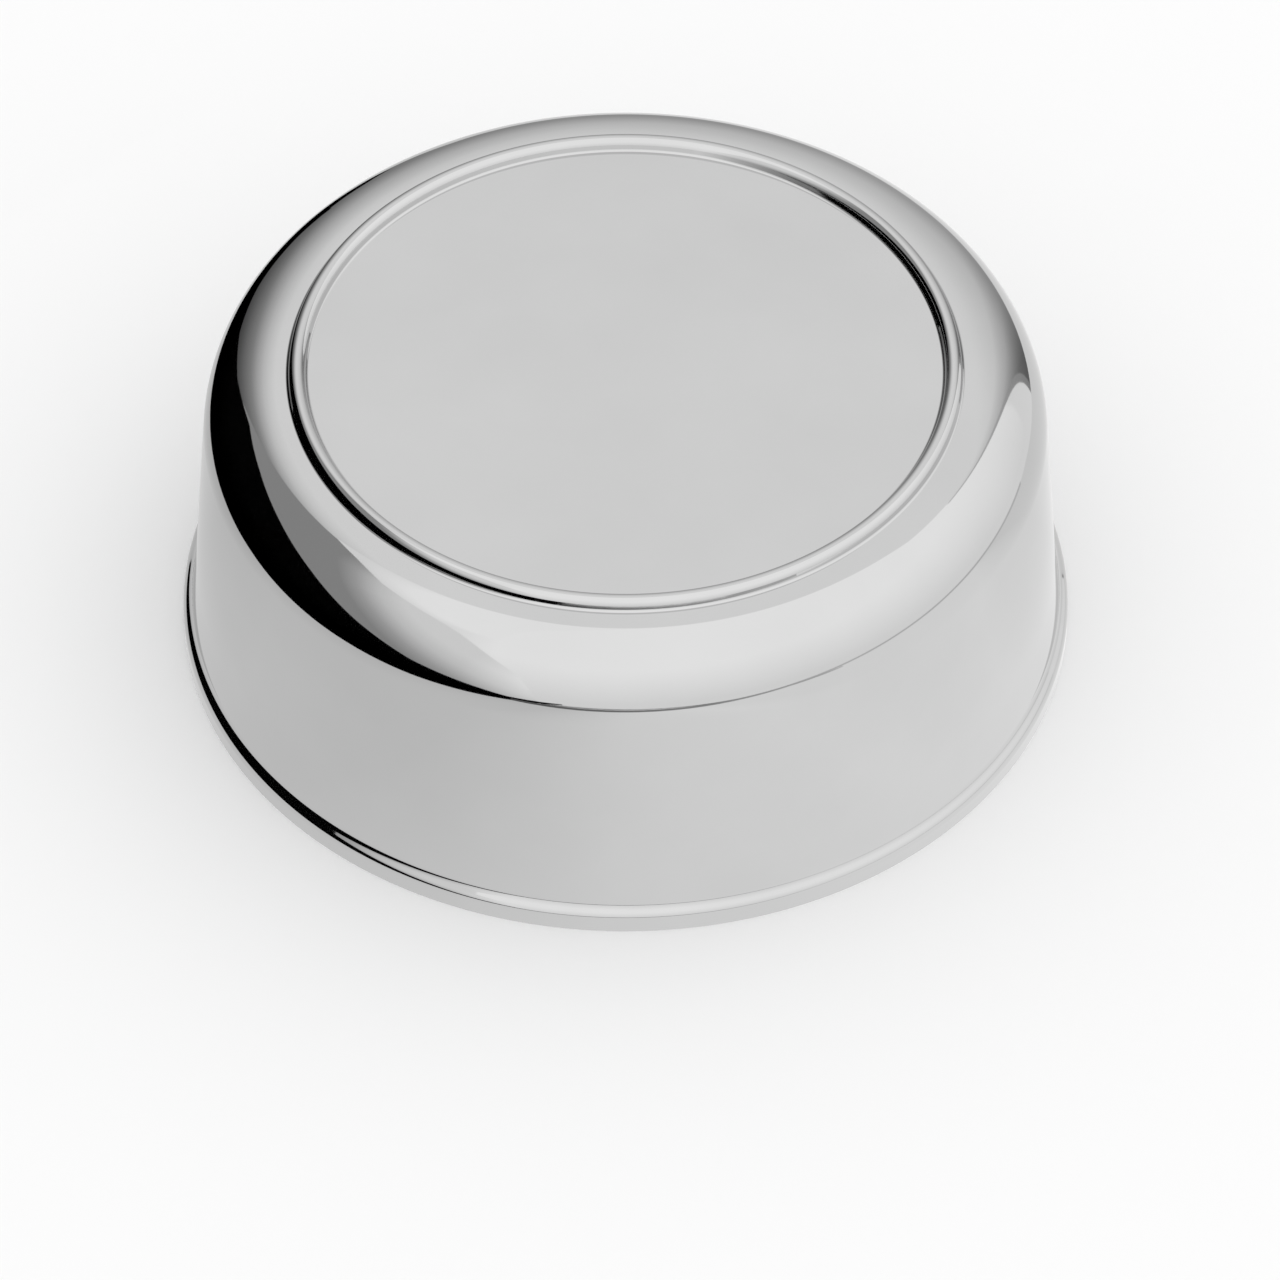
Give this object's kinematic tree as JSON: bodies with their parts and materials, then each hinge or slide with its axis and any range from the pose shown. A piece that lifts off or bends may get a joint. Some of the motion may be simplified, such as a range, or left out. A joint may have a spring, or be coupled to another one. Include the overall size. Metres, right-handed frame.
{
  "type": "axle hub cover",
  "caption": "Round chrome-plated sheet steel cap for the end of a wheel hub, with a flat face, raised ring, rounded shoulder, tapered wall and stepped rim.",
  "frame": {"origin": "middle of the rim's base, where the cover stands", "axes": "+Z along the axle towards the flat face, X and Y across the rim"},
  "size_m": [0.16, 0.16, 0.0613],
  "materials": {
    "chrome_plate": "polished"
  },
  "bodies": {
    "root": {"hub_cover": "chrome_plate"}
  },
  "joints": []
}
